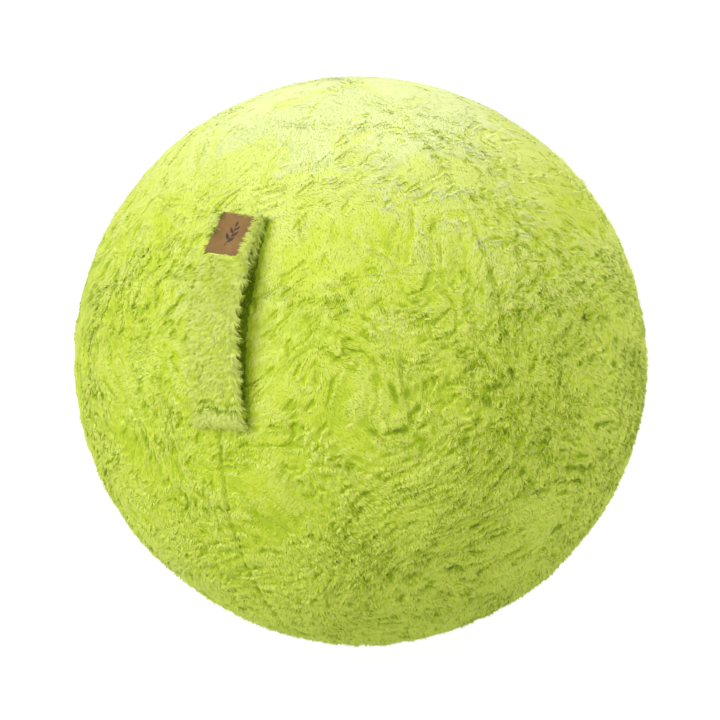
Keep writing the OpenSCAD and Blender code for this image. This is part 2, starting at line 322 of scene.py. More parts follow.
def tubes_object(name, tubes, material, sharp=None):
    """One object of closed tubes. Each is an array of rings of points, capped at both ends."""
    points, faces, start = [], [], 0
    for rings in tubes:
        rows, sides = rings.shape[:2]
        quads = grid_faces(rows, sides, closed=True)
        around = np.arange(sides)
        after = (around + 1) % sides
        last = (rows - 1) * sides
        low, high = np.full(sides, rows * sides), np.full(sides, rows * sides + 1)
        triangles = [
            quads[:, [0, 1, 2]],
            quads[:, [0, 2, 3]],
            np.stack([low, after, around], axis=1),
            np.stack([high, last + around, last + after], axis=1),
        ]
        points.append(rings.reshape(-1, 3))
        points.append(np.stack([rings[0].mean(axis=0), rings[-1].mean(axis=0)]))
        faces.append(np.concatenate(triangles) + start)
        start += rows * sides + 2
    obj = mesh_object(name, np.concatenate(points), np.concatenate(faces), [material])
    if sharp:
        obj.data.set_sharp_from_angle(angle=math.radians(sharp))
    return obj


def round_rings(path, radius, sides, reference):
    """Round rings along a path, square to it. reference is any direction across the path."""
    along = unit(np.gradient(path, axis=0))
    across = unit(np.cross(along, reference))
    over = np.cross(along, across)
    turn = np.linspace(0, 2 * math.pi, sides, endpoint=False)[None, :, None]
    ring = np.cos(turn) * across[:, None, :] + np.sin(turn) * over[:, None, :]
    return path[:, None, :] + ring * np.asarray(radius).reshape(-1, 1, 1)


def tuft_object(name, roots, normals, aim, length, width, shade, softness, materials):
    """Locks of pile: each is a small roof of two triangles that runs from a wide root to a point."""
    side = unit(np.cross(aim, normals))
    crest = unit(np.cross(side, aim))
    half = side * (width / 2)[:, None]
    points = np.stack(
        [roots - half, roots + half, roots + crest * (width * 0.45)[:, None], roots + aim * length[:, None]],
        axis=1,
    )
    points[:, :, 2] = np.maximum(points[:, :, 2], 0.2 * MM)
    n = len(roots)
    first = np.arange(n)[:, None] * 4
    faces = np.concatenate([first + [[1, 3, 2]], first + [[0, 2, 3]]], axis=0)
    obj = mesh_object(name, points.reshape(-1, 3), faces, materials, np.concatenate([shade, shade]))
    soft = normals * softness[:, None]
    own = 1 - softness[:, None]
    shading = [
        unit(soft + own * unit(crest - side)),
        unit(soft + own * unit(crest + side)),
        unit(soft + own * crest),
        unit(soft + own * unit(crest + aim * 0.5)),
    ]
    obj.data.normals_split_custom_set_from_vertices(np.stack(shading, axis=1).reshape(-1, 3))
    return obj


# ---- materials --------------------------------------------------------------------------------


def new_material(name, colour, roughness, metallic=0.0, sheen=0.0, sheen_roughness=0.5):
    mat = bpy.data.materials.new(name)
    mat.use_nodes = True
    shader = mat.node_tree.nodes["Principled BSDF"]
    shader.inputs["Base Color"].default_value = (*colour, 1)
    shader.inputs["Roughness"].default_value = roughness
    shader.inputs["Metallic"].default_value = metallic
    shader.inputs["Sheen Weight"].default_value = sheen
    shader.inputs["Sheen Roughness"].default_value = sheen_roughness
    return mat, mat.node_tree, shader


def add_node(tree, kind, **values):
    node = tree.nodes.new(kind)
    for key, value in values.items():
        if key in node.inputs:
            node.inputs[key].default_value = value
        else:
            setattr(node, key, value)
    return node


def noise_node(tree, scale, detail=3.0, rough=0.55):
    where = add_node(tree, "ShaderNodeTexCoord")
    noise = add_node(tree, "ShaderNodeTexNoise", Scale=scale, Detail=detail, Roughness=rough)
    tree.links.new(where.outputs["Object"], noise.inputs["Vector"])
    return noise


def weave_node(tree, scale):
    """Two crossed sets of fine bands, as threads that run over and under each other."""
    where = add_node(tree, "ShaderNodeTexCoord")
    product = add_node(tree, "ShaderNodeMath", operation="MULTIPLY")
    for i, way in enumerate(("X", "Z")):
        bands = add_node(tree, "ShaderNodeTexWave", Scale=scale, Distortion=0.4, bands_direction=way)
        tree.links.new(where.outputs["Object"], bands.inputs["Vector"])
        tree.links.new(bands.outputs["Fac"], product.inputs[i])
    return product


def add_bump(tree, shader, source, distance, strength=1.0):
    bump = add_node(tree, "ShaderNodeBump", Distance=distance, Strength=strength)
    tree.links.new(source, bump.inputs["Height"])
    tree.links.new(bump.outputs["Normal"], shader.inputs["Normal"])


def colour_from(tree, shader, source, stops):
    ramp = add_node(tree, "ShaderNodeValToRGB")
    while len(ramp.color_ramp.elements) < len(stops):
        ramp.color_ramp.elements.new(0.5)
    for element, (place, colour) in zip(ramp.color_ramp.elements, stops):
        element.position = place
        element.color = (*colour, 1)
    tree.links.new(source, ramp.inputs["Fac"])
    tree.links.new(ramp.outputs["Color"], shader.inputs["Base Color"])


def roughness_from(tree, shader, source, low, high):
    spread = add_node(tree, "ShaderNodeMapRange")
    spread.inputs["To Min"].default_value = low
    spread.inputs["To Max"].default_value = high
    tree.links.new(source, spread.inputs["Value"])
    tree.links.new(spread.outputs["Result"], shader.inputs["Roughness"])


def pile_material(name, colour, shine):
    """Soft shiny fibre. Its sheen pales the pile where it is seen along the surface."""
    mat, tree, shader = new_material(name, colour, 0.55, sheen=0.15, sheen_roughness=0.4)
    shader.inputs["Specular IOR Level"].default_value = shine
    shader.inputs["Specular Tint"].default_value = (1.0, 1.0, 0.9, 1)
    strands = noise_node(tree, 1400, 2)
    add_bump(tree, shader, strands.outputs["Fac"], 0.12 * MM, 0.5)
    return mat


# The pile's colours and the steps between them: painted shade at the deep end, used under the strap and in
# hollows, the pile's own green in the middle, and a whitish painted highlight at the pale end, for the
# crown.
PILE_COLOURS = [
    (0.17, 0.26, 0.003),
    (0.29, 0.42, 0.004),
    (0.42, 0.56, 0.008),
    (0.55, 0.67, 0.022),
    (0.61, 0.70, 0.13),
    (0.61, 0.67, 0.37),
]
PILE_STEPS = 2


def pile_materials():
    """Materials for each colour of the pile and for even steps between them."""
    colours = np.array(PILE_COLOURS)
    places = np.arange((len(colours) - 1) * PILE_STEPS + 1) / PILE_STEPS
    known = np.arange(len(colours))
    rows = np.stack([np.interp(places, known, channel) for channel in colours.T], axis=1)
    # The deeper colours shine less, so the tufts painted with shade in hollows and under the strap also lose
    # their gloss.
    shine = np.interp(places, [0, 3], [0.3, 1.0])
    return [pile_material("pile_%d" % i, *look) for i, look in enumerate(zip(rows, shine))]


def pile_shade(tone):
    """The material number for a tone, where 0 is the second deepest colour and 4 the palest."""
    return np.clip(np.round((tone + 1) * PILE_STEPS), 0, len(PILE) - 1).astype(int)


PILE = pile_materials()


def ground_material():
    """The knitted ground and pile roots under the tufts."""
    mat, tree, shader = new_material("plush_ground", (0.4, 0.5, 0.05), 0.85)
    shader.inputs["Specular IOR Level"].default_value = 0.15
    patches = noise_node(tree, 26, 5)
    stops = [(0.3, (0.34, 0.48, 0.010)), (0.5, (0.42, 0.56, 0.015)), (0.72, (0.50, 0.63, 0.022))]
    colour_from(tree, shader, patches.outputs["Fac"], stops)
    fibres = noise_node(tree, 900, 4)
    add_bump(tree, shader, fibres.outputs["Fac"], 0.8 * MM)
    return mat


def woven_material(name, dark, light, scale, roughness=0.75):
    mat, tree, shader = new_material(name, light, roughness, sheen=0.15)
    weave = weave_node(tree, scale)
    colour_from(tree, shader, weave.outputs["Value"], [(0.0, dark), (0.7, light)])
    add_bump(tree, shader, weave.outputs["Value"], 0.25 * MM)
    return mat


def thread_material(name, dark, light):
    """Twisted sewing thread."""
    mat, tree, shader = new_material(name, light, 0.6, sheen=0.3)
    twist = noise_node(tree, 1600, 2)
    colour_from(tree, shader, twist.outputs["Fac"], [(0.35, dark), (0.65, light)])
    add_bump(tree, shader, twist.outputs["Fac"], 0.1 * MM)
    return mat


def leather_material():
    """Smooth tan leatherette with a fine grain and slightly uneven dye."""
    mat, tree, shader = new_material("label_leather", (0.21, 0.118, 0.041), 0.7)
    shader.inputs["Specular IOR Level"].default_value = 0.25
    dye = noise_node(tree, 55, 6, 0.6)
    stops = [(0.3, (0.175, 0.095, 0.031)), (0.55, (0.21, 0.118, 0.041)), (0.75, (0.245, 0.14, 0.051))]
    colour_from(tree, shader, dye.outputs["Fac"], stops)
    where = add_node(tree, "ShaderNodeTexCoord")
    grain = add_node(tree, "ShaderNodeTexVoronoi", Scale=1100)
    tree.links.new(where.outputs["Object"], grain.inputs["Vector"])
    add_bump(tree, shader, grain.outputs["Distance"], 0.12 * MM, 0.7)
    return mat


def moulded_material(name, dark, light, roughness, grain=0.05):
    """Plastic, rubber or vinyl: faint patches in the colour and a fine moulded skin."""
    mat, tree, shader = new_material(name, light, roughness)
    patches = noise_node(tree, 40, 4)
    colour_from(tree, shader, patches.outputs["Fac"], [(0.3, dark), (0.7, light)])
    skin = noise_node(tree, 700, 3)
    add_bump(tree, shader, skin.outputs["Fac"], grain * MM, 0.6)
    return mat


def metal_material(name, colour):
    """Plated zinc with rubbed, uneven gloss."""
    mat, tree, shader = new_material(name, colour, 0.3, metallic=1.0)
    rubbed = noise_node(tree, 260, 6, 0.7)
    roughness_from(tree, shader, rubbed.outputs["Fac"], 0.18, 0.5)
    add_bump(tree, shader, rubbed.outputs["Fac"], 0.03 * MM, 0.5)
    return mat


GROUND = ground_material()
WEBBING = woven_material("webbing", (0.07, 0.11, 0.012), (0.20, 0.29, 0.03), 180)
ZIP_TAPE = woven_material("zip_tape", (0.22, 0.31, 0.03), (0.40, 0.51, 0.06), 420)
SEAM_THREAD = thread_material("seam_thread", (0.26, 0.35, 0.03), (0.42, 0.53, 0.06))
TAN_THREAD = thread_material("tan_thread", (0.20, 0.11, 0.05), (0.30, 0.17, 0.08))
LEATHER = leather_material()
PRINT = moulded_material("label_print", (0.03, 0.012, 0.006), (0.05, 0.022, 0.01), 0.7)
COIL = moulded_material("zip_coil_nylon", (0.24, 0.33, 0.03), (0.36, 0.47, 0.05), 0.35)
METAL = metal_material("zip_metal", (0.62, 0.55, 0.38))
VINYL = moulded_material("inner_vinyl", (0.30, 0.31, 0.32), (0.38, 0.39, 0.40), 0.38, 0.08)
RUBBER = moulded_material("valve_rubber", (0.03, 0.03, 0.03), (0.06, 0.06, 0.06), 0.65, 0.1)
PLASTIC = moulded_material("valve_plastic", (0.72, 0.72, 0.70), (0.82, 0.82, 0.80), 0.35)

# ---- strap's geometry ---------------------------------------------------------------------------

STRAP_TURN = np.array(
    Matrix.Rotation(math.pi, 3, "Z")
    @ Matrix.Rotation(math.radians(STRAP_MID), 3, "X")
    @ Matrix.Rotation(math.radians(STRAP_LEAN), 3, "Y")
    @ Matrix.Rotation(math.radians(-STRAP_MID), 3, "X")
)


def strap_r(lat):
    """Radius of the strap's underside at a latitude, as the CAD strap has it."""
    share = np.clip((lat - STRAP_LOW) / (STRAP_HIGH - STRAP_LOW), 0, 1)
    return BALL_R + STRAP_CLEAR + STRAP_GAP * np.sin(np.pi * share) ** 2


def strap_place(lat, side, height):
    lat, side, height = np.broadcast_arrays(lat, side, height)
    r = strap_r(lat) + height
    a = np.radians(lat)
    local = np.stack([-side, r * np.cos(a), r * np.sin(a)], axis=-1)
    return CENTRE + local @ STRAP_TURN.T


def strap_coordinates(u):
    """Latitude along the strap and distance to its side, for directions u of the ball."""
    local = u @ STRAP_TURN
    return np.degrees(np.arctan2(local[:, 2], local[:, 1])), -local[:, 0] * BALL_R


def from_label(x, y):
    """Latitude and side of a place on the label: x to its right and y up, from its middle."""
    side = x * math.cos(LABEL_TURN) + y * math.sin(LABEL_TURN) - LABEL_SHIFT
    rise = y * math.cos(LABEL_TURN) - x * math.sin(LABEL_TURN)
    return LABEL_MID + np.degrees(rise / LABEL_R), side


def to_label(lat, side):
    """Where on the label a latitude and side of the strap lie."""
    rise = np.radians(lat - LABEL_MID) * LABEL_R
    side = side + LABEL_SHIFT
    x = side * math.cos(LABEL_TURN) - rise * math.sin(LABEL_TURN)
    return x, side * math.sin(LABEL_TURN) + rise * math.cos(LABEL_TURN)


# The upper half of the strap bends between its sewn end and its middle, and so does the lower.
BENDS = {
    "upper": (strap_place(STRAP_HIGH - 1, 0, 0), strap_place(STRAP_MID + BEND_END, 0, 0)),
    "lower": (strap_place(STRAP_LOW + 1, 0, 0), strap_place(STRAP_MID - BEND_END, 0, 0)),
}


def bend(obj):
    """Bakes obj's placement into its points; it doesn't lift with the strap's middle or bend."""
    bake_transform(obj)


# ---- cover ------------------------------------------------------------------------------------


def slot_edge(lat):
    """How far the cloth's edge stands back from the zip's seam: over the zip it leaves the slot."""
    inside = smooth(lat, ZIP_LOW - SLOT_END - 1, ZIP_LOW - SLOT_END + 1)
    inside = inside * (1 - smooth(lat, ZIP_HIGH + SLOT_END - 1, ZIP_HIGH + SLOT_END + 1))
    return mix(0.05 * MM, SLOT_HALF, inside), inside


def gore_ground(name, azimuth):
    """One gore's ground cloth, from one seam to the next, turned in along the zip's slot."""
    rows, columns = 380, 76
    lat = np.linspace(-GORE_TIP, GORE_TIP, rows)
    share = np.linspace(-1, 1, columns)
    slot, open_share = slot_edge(lat)
    plain = np.full(rows, 0.05 * MM)
    reach = BALL_R * np.maximum(np.cos(np.radians(lat)), 0.02)
    offsets, turned_in = [], np.zeros((rows, columns))
    for end, seam in ((0, azimuth - HALF_GORE), (-1, azimuth + HALF_GORE)):
        at_zip = seam == ZIP_AZIMUTH
        offsets.append(np.degrees((slot if at_zip else plain) / reach))
        if at_zip:
            turned_in[:, end] = open_share * 1.8 * MM
    low = -HALF_GORE + offsets[0]
    high = HALF_GORE - offsets[1]
    turn = azimuth + mix(low[:, None], high[:, None], (share[None, :] + 1) / 2)
    lat, turn = np.radians(np.broadcast_to(lat[:, None], turn.shape)), np.radians(turn)
    u = np.stack([np.cos(lat) * np.cos(turn), np.cos(lat) * np.sin(turn), np.sin(lat)], axis=-1)
    u = u.reshape(-1, 3)
    radius = BALL_R - PILE_ROOT + relief(u) - turned_in.ravel()
    points = CENTRE + u * radius[:, None]
    points[:, 2] = np.maximum(points[:, 2], 0.5 * MM)
    return mesh_object("ground_" + name, points, grid_faces(rows, columns), [GROUND])


def zip_slot(u, margin):
    """Which directions lie over the zip's slot."""
    lat = latitude(u)
    inside = (np.abs(u[:, 0]) * BALL_R < SLOT_HALF + margin) & (u[:, 1] > 0)
    return inside & (lat > ZIP_LOW - SLOT_END) & (lat < ZIP_HIGH + SLOT_END)


def under_strap(u, inset):
    """Which directions lie under the strap, at least the inset in from its edges."""
    lat, side = strap_coordinates(u)
    near = (np.abs(side) < STRAP_WIDTH / 2 - inset) & (u[:, 1] < 0)
    return near & (lat > STRAP_LOW + 0.3) & (lat < STRAP_HIGH - 0.3)


def strap_shade(u):
    """How shaded the pile is that lies against the strap's -X edge."""
    lat, side = strap_coordinates(u)
    beside = bell(side + STRAP_WIDTH / 2 + 3 * MM, 4 * MM) * (u[:, 1] < 0)
    return beside * smooth(lat, STRAP_LOW - 1, STRAP_LOW + 3) * smooth(lat, STRAP_HIGH + 1, STRAP_HIGH - 3)


def pressed_bare(u):
    """Which directions lie under the strap's sewn ends, where no pile stands."""
    lat = strap_coordinates(u)[0]
    return under_strap(u, 4 * MM) & (strap_r(lat) - BALL_R < 3 * MM)


def above_label(u):
    """Which directions lie just above the label, where the pile is brushed away from it."""
    x, y = to_label(*strap_coordinates(u))
    near = (y > LABEL_LEN / 2 - 4 * MM) & (y < LABEL_LEN / 2 + 7 * MM)
    return near & (np.abs(x) < LABEL_W / 2 + 1 * MM) & (u[:, 1] < 0)


def cover_tufts():
    """Directions, roots, normals, aims, lengths, widths, shades and softness of the cover's pile."""
    rng = np.random.default_rng(41)
    u = directions(TUFT_COUNT, 0.45, rng)
    u = u[~zip_slot(u, 1 * MM) & ~pressed_bare(u)]
    n = len(u)
    up, side = sphere_axes(u)
    height, rise_up, rise_side = gradient(relief, u, up, side)
    slope = (up * rise_up[:, None] + side * rise_side[:, None]) / BALL_R
    rough = ruffle(u)
    normal = unit(u - mix(*STEEPER, rough)[:, None] * slope)
    flow = lay(u, up, side) + 1.6 * slope
    flow = mix(flow, -up, (0.8 * bell(seam_distance(u), 3 * MM))[:, None])
    off_zip = 2.5 * np.sign(u[:, :1]) * [[1.0, 0.0, 0.0]]
    flow = np.where(zip_slot(u, 14 * MM)[:, None], flow + off_zip, flow)
    flow = np.where(above_label(u)[:, None], up + 0.3 * flow, flow)
    flow = unit(flow - normal * (flow * normal).sum(axis=1)[:, None])
    spread = rng.normal(size=n) * mix(*TUFT_SPREAD, rough)
    flow = flow * np.cos(spread)[:, None] + np.cross(normal, flow) * np.sin(spread)[:, None]
    crown = smooth(u[:, 2], 0.25, 0.95)
    lift = mix(*TUFT_LIFT, rough) - 3 * crown + rng.normal(size=n) * (3 - 1.5 * crown)
    lift = np.radians(np.clip(lift, *LIFT_LIMITS))
    length = TUFT_LEN * (0.75 + 0.5 * rng.random(n))
    width = TUFT_WIDTH * (0.7 + 0.6 * rng.random(n))
    roots = CENTRE + u * (BALL_R - PILE_ROOT + height)[:, None]
    aim = flow * np.cos(lift)[:, None] + normal * np.sin(lift)[:, None]
    wisp, wisp_up, wisp_side = gradient(wisp_noise_at, u, up, side, 0.002)
    pull = (up * wisp_up[:, None] + side * wisp_side[:, None]) / 45
    aim = unit(aim + pull * (0.12 + 0.22 * rough)[:, None])
    # Painted shade and highlight: the pile is drawn darker in hollows and in the crinkles' creases, paler on
    # their ridges, and paler on slopes that face the light and darker on those that face away.
    hollow = smooth(height - dents(u), 1.2 * MM, -2 * MM)
    folds = 3.6 * rough**2 * (crinkle(warped(u)) - 0.05) - (0.8 + 1.8 * rough) * (slope @ PAINTED_LIGHT_WAY)
    tone = 2.0 + 0.6 * shade_noise(u * 7) + 0.25 * wisp - (0.9 + 0.8 * rough) * hollow + folds
    tone = tone + 0.07 * rng.normal(size=n)
    seam = seam_distance(u)
    seam_tone = 0.5 * bell(seam - 4 * MM, 1.8 * MM) - 1.0 * bell(seam, 1.7 * MM)
    # Seams are darker along their line and paler just beside it. Ruffled pile is drawn darker: partly its
    # deeper colour showing, partly painted shade low on the ball's +X side, where most of it lies.
    tone = tone + seam_tone * (1 - 0.8 * crown) * (0.8 + 0.8 * mask_noise(u * 6)) - 0.6 * (rough - 0.5)
    # Painted highlight: towards the crown the tone is drawn up to the palest, whitish colours and varies
    # less.
    tone = np.clip(mix(tone, 2.8 + 1.2 * crown, 0.7 * crown), -0.6, 2.7 + 1.3 * crown)
    # Painted shade: the pile under the strap, a little past its edges, and against its -X edge is drawn
    # darker.
    tone = tone - 1.2 * under_strap(u, -3.5 * MM) - 2.3 * under_strap(u, 1 * MM) - 1.9 * strap_shade(u)
    softness = mix(*SOFTNESS, np.clip(rough, 0, 1.2))
    return u, roots, normal, aim, length, width, pile_shade(tone), softness


def wisp_noise_at(u):
    """Noise whose peaks draw the tips of the tufts round them together into wisps."""
    return wisp_noise(u * 45)


def build_cover():
    u, *tufts = cover_tufts()
    azimuth = np.degrees(np.arctan2(u[:, 1], u[:, 0]))
    for name, middle in GORES.items():
        mine = np.abs((azimuth - middle + 180) % 360 - 180) <= HALF_GORE
        pile = tuft_object("pile_" + name, *[part[mine] for part in tufts], PILE)
        ground = gore_ground(name, middle)
        for obj in (ground, pile):
            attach(obj, "root")
        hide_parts(name)


# ---- strap --------------------------------------------------------------------------------------


SLEEVE_HALF = STRAP_WIDTH / 2 - 3.4 * MM  # from the sleeve's middle to its edge, without pile
SLEEVE_ROUND = 0.55  # how round the sleeve's edges are: 1 is an oval, 0 a box


def hem_folds(lat, side):
    """Creases and bulges where the sleeve is gathered above its lower sewn end."""
    at = np.stack([side * 1.9, lat * 0.3, side * 0 + 7], axis=-1).reshape(-1, 3)
    wander = strap_noise(at).reshape(lat.shape)
    arch = 0.9 * (1 - side * side) + 0.8 * wander
    above = lat - STRAP_LOW
    upper = 1.5 * bell(above - 5.2 - 0.8 * wander, 0.38) * smooth(wander, -0.5, 0.2)
    return 1.0 * bell(above - 2.0, 1.3) - 2.2 * bell(above - 3.1 - arch, 0.42) - upper


def strap_skin(lat, turn):
    """Points of the plush sleeve. turn goes round its section: 0 at the +X edge, a quarter on top."""
    degree = math.radians(1) * BALL_R
    from_end = np.minimum(lat - STRAP_LOW, STRAP_HIGH - lat) * degree
    pressed = smooth(from_end, -2 * MM, 9 * MM)
    c, s = np.cos(turn), np.sin(turn)
    side = np.sign(c) * np.abs(c) ** SLEEVE_ROUND
    at = np.stack([lat * 0.9, np.sign(c) * 3.0, lat * 0], axis=-1).reshape(-1, 3)
    wave = strap_noise(at).reshape(lat.shape) + 0.6 * strap_noise(at * 2.7).reshape(lat.shape)
    flare = 1.6 * MM * bell(lat - STRAP_LOW, 5)
    half = SLEEVE_HALF + flare + 1.3 * MM * wave * np.abs(side)
    height = mix(-0.8, 5.0, pressed) * MM + mix(1.9, 3.1, pressed) * MM * np.sign(s) * np.abs(s) ** 0.75
    place = strap_place(lat, side * half, 0).reshape(-1, 3) / BALL_R
    lumps = 1.2 * lump_noise(place * 24) + 0.9 * ridged(crumple_noise(place * 46))
    lumps = lumps + 0.7 * fine_noise(place * 100)
    height = height + MM * np.maximum(s, 0) ** 0.5 * (lumps.reshape(lat.shape) + hem_folds(lat, side))
    return strap_place(lat, side * half, height)


def sleeve_turn(side):
    """The turn round the sleeve's section at which its top lies a distance to the side."""
    share = side / SLEEVE_HALF
    return np.arccos(np.sign(share) * np.minimum(np.abs(share), 1) ** (1 / SLEEVE_ROUND))


def strap_sleeve(half, low, high):
    rows, sides = 130, 56
    lat = np.linspace(low, high, rows)[:, None]
    turn = np.linspace(0, 2 * math.pi, sides, endpoint=False)[None, :]
    lat, turn = np.broadcast_arrays(lat, -turn)
    return tubes_object("strap_sleeve_" + half, [strap_skin(lat, turn)], GROUND)


def strap_tufts(low, high, count, rng):
    """Pile over the top and both edges of the sleeve. Beside the label it leans over its edges."""
    lat = low + (high - low) * rng.random(count)
    # Most tufts grow on the flat top, and the rest round the two edges.
    place = rng.random(count)
    flat_top = np.arccos(np.sign(rng.random(count) - 0.5) * rng.random(count) ** (1 / SLEEVE_ROUND))
    edge = rng.uniform(-0.4, 0.9, count)
    turn = np.where(place < 0.72, flat_top, np.where(place < 0.86, edge, math.pi - edge))
    step_lat, step_turn = 0.05, 0.02
    root = strap_skin(lat, turn)
    along = unit(strap_skin(lat + step_lat, turn) - strap_skin(lat - step_lat, turn))
    across = unit(strap_skin(lat, turn + step_turn) - strap_skin(lat, turn - step_turn))
    normal = unit(np.cross(across, along))
    away = unit(strap_place(lat, 1 * MM, 0) - strap_place(lat, 0, 0))
    normal = normal * np.sign((normal * (root - strap_place(lat, 0, 4 * MM))).sum(axis=1))[:, None]
    side_now = ((root - strap_place(lat, 0, 0)) * away).sum(axis=1)
    angle = 0.45 + 0.9 * swirl_noise(root / BALL_R * 9) + 0.25 * rng.normal(size=count)
    flow = -along * np.cos(angle)[:, None] - away * np.sin(angle)[:, None]
    to_edge = smooth(np.abs(side_now), 21 * MM, 26 * MM) * np.sign(side_now)
    ragged = 0.9 + 1.1 * swirl_noise(root / BALL_R * 40)
    flow = flow + away * (ragged * to_edge)[:, None]
    x, y = to_label(lat, side_now)
    beside_label = (np.abs(x) > LABEL_W / 2 - 2 * MM) & (np.abs(y) < LABEL_LEN / 2 + 1 * MM)
    lap = bell(y / LABEL_LEN, 0.42) * (0.6 + 0.5 * swirl_noise(root / BALL_R * 34))
    lap = lap * np.where(x > 0, 1, 0.2)
    inward = -away * np.sign(x)[:, None] * (2.4 * np.clip(lap, 0.0, 1))[:, None] - 0.5 * along
    flow = np.where(beside_label[:, None], inward, flow)
    flow = unit(flow - normal * (flow * normal).sum(axis=1)[:, None])
    lift = np.radians(19 + 8 * rng.normal(size=count) + np.where(beside_label, 14, 0))
    lift = np.clip(lift, 0.06, 0.9)
    wisp, wisp_along, wisp_away = gradient(strap_wisp_at, root, along * BALL_R, away * BALL_R, 0.002)
    pull = (along * wisp_along[:, None] + away * wisp_away[:, None]) / 60
    aim = unit(flow * np.cos(lift)[:, None] + normal * np.sin(lift)[:, None] + 0.45 * pull)
    length = 6.5 * MM * (0.7 + 0.6 * rng.random(count)) * (1 + 0.5 * np.abs(to_edge))
    width = 1.3 * MM * (0.7 + 0.6 * rng.random(count))
    # Painted shade and highlight: the hem's creases are drawn darker and its bulges paler, and the tufts
    # round the sleeve's edges paler.
    tone = 2.6 + 0.8 * shade_noise(root / BALL_R * 26) + 2.0 * hem_folds(lat, side_now / STRAP_WIDTH * 2)
    tone = tone + 0.8 * np.abs(to_edge)
    tone = tone + 1.0 * fine_noise(root / BALL_R * 90) + 1.0 * wisp
    shade = pile_shade(np.minimum(tone + 0.4 * rng.normal(size=count), 2.8))
    covered = (np.abs(x) < LABEL_W / 2 - 0.8 * MM) & (np.abs(y) < LABEL_LEN / 2 - 0.5 * MM)
    keep = ~(covered & (np.sin(turn) > 0.2))
    softness = np.full(count, 0.8)
    return [part[keep] for part in (root, normal, aim, length, width, shade, softness)]


def strap_wisp_at(points):
    """Noise whose peaks draw the tips of the strap's tufts together."""
    return wisp_noise(points / BALL_R * 60)


def build_strap():
    rng = np.random.default_rng(53)
    halves = {
        "upper": (STRAP_MID, STRAP_HIGH, ("strap_upper", "strap_grip")),
        "lower": (STRAP_LOW, STRAP_MID, ("strap_lower",)),
    }
    for half, (low, high, nodes) in halves.items():
        sleeve = strap_sleeve(half, low, high)
        pile = tuft_object("strap_pile_" + half, *strap_tufts(low, high, STRAP_TUFTS // 2, rng), PILE)
        for obj in (sleeve, pile):
            bend(obj)
        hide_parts(*nodes)
        build_webbing(half, low, high)
    build_tack("strap_tack_upper", [STRAP_HIGH - 0.12])
    build_tack("strap_tack_lower", [STRAP_LOW + 0.5, STRAP_LOW + 2])


def build_webbing(half, low, high):
    """The woven band that carries the load under the plush."""
    rows, sides = 60, 24
    lat = np.linspace(low + 0.5 * (half == "lower"), high - 0.5 * (half == "upper"), rows)[:, None]
    turn = np.linspace(0, -2 * math.pi, sides, endpoint=False)[None, :]
    c, s = np.cos(turn), np.sin(turn)
    side = np.sign(c) * np.abs(c) ** 0.3 * WEBBING_WIDTH / 2
    height = WEBBING_T / 2 + np.sign(s) * np.abs(s) ** 0.5 * (WEBBING_T / 2 - 0.1 * MM)
    band = tubes_object("strap_band_" + half, [strap_place(lat, side, height)], WEBBING)
    bend(band)
    names = ["strap_webbing_upper", "strap_webbing_grip"] if half == "upper" else ["strap_webbing_lower"]
    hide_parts(*names)


def stitch_path(start, end, rise):
    """A short thread from one needle hole to the next, arched a little over the cloth."""
    share = np.linspace(0, 1, 7)[:, None]
    return mix(start, end, share) + rise * np.sin(np.pi * share) ** 0.6


def build_tack(name, latitudes):
    """Rows of stitches that hold a sewn end of the strap to the ball's cover."""
    pitch, length = 4 * MM, 2.8 * MM
    places = (np.arange(13) - 6) * pitch
    tubes = []
    for lat in latitudes:
        for x in places:
            outwards = unit(strap_place(lat, x, 1.0) - strap_place(lat, x, 0))
            holes = np.array([x - length / 2, x + length / 2])
            low, high = strap_skin(np.full(2, lat), sleeve_turn(holes))
            path = stitch_path(low, high, outwards * 0.6 * MM)
            tubes.append(round_rings(path, 0.38 * MM, 6, outwards))
    obj = tubes_object(name + "_stitches", tubes, SEAM_THREAD)
    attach(obj, "root")
    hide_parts(name)


# ---- label --------------------------------------------------------------------------------------


def label_base(lat):
    """Height of the label's back over the strap's underside: it sinks to the strap's sewn end."""
    from_end = np.radians(STRAP_HIGH - lat) * LABEL_R
    return mix(6.4, 8.5, smooth(from_end, -1 * MM, 10 * MM)) * MM


def on_label(x, y, height):
    """A place on the label: x to the side, y up from its middle, and a height over its back."""
    ripple = 0.35 * MM * np.sin(x * 130) * np.cos(y * 110)
    lat, side = from_label(x, y)
    return strap_place(lat, side, label_base(lat) + height + ripple)


def label_body():
    rows = 48
    y = np.linspace(-LABEL_LEN / 2, LABEL_LEN / 2, rows)
    across = np.linspace(1, -1, 40)
    rim = 0.25 * MM
    half = LABEL_W / 2
    top = [(a * (half - rim), LABEL_T) for a in across]
    left = [(-half, LABEL_T - rim), (-half, rim)]
    below = [(-a * (half - rim), 0.0) for a in across]
    right = [(half, rim), (half, LABEL_T - rim)]
    section = np.array((top + left + below + right)[::-1])
    # The last rows at both ends are drawn in a little, which rounds the cut edges.
    ends = np.ones(rows)
    ends[[0, -1]] = 0.55
    height = LABEL_T / 2 + (section[None, :, 1] - LABEL_T / 2) * ends[:, None]
    rings = on_label(np.broadcast_to(section[None, :, 0], height.shape), y[:, None], height)
    return tubes_object("label_patch", [rings], LEATHER, sharp=50)


def ribbon(points, widths, height):
    """A thin flat ribbon on the label along points, with a width at each."""
    points = np.asarray(points, float)
    along = unit(np.gradient(points, axis=0))
    across = np.stack([-along[:, 1], along[:, 0]], axis=1) * (np.asarray(widths) / 2)[:, None]
    low, high = LABEL_T - 0.1 * MM, LABEL_T + height
    corners = [(across, low), (across, high), (-across, high), (-across, low)]
    rings = [on_label(points[:, 0] + c[:, 0], points[:, 1] + c[:, 1], h) for c, h in corners]
    return np.stack(rings[::-1], axis=1)


# Each leaf of the sprig: its place along the stem, its side, and its length in millimetres.
LEAVES = [(0.2, 1, 10), (0.34, -1, 11), (0.52, 1, 10), (0.66, -1, 9.5), (0.84, 1, 8), (1, 0, 8)]


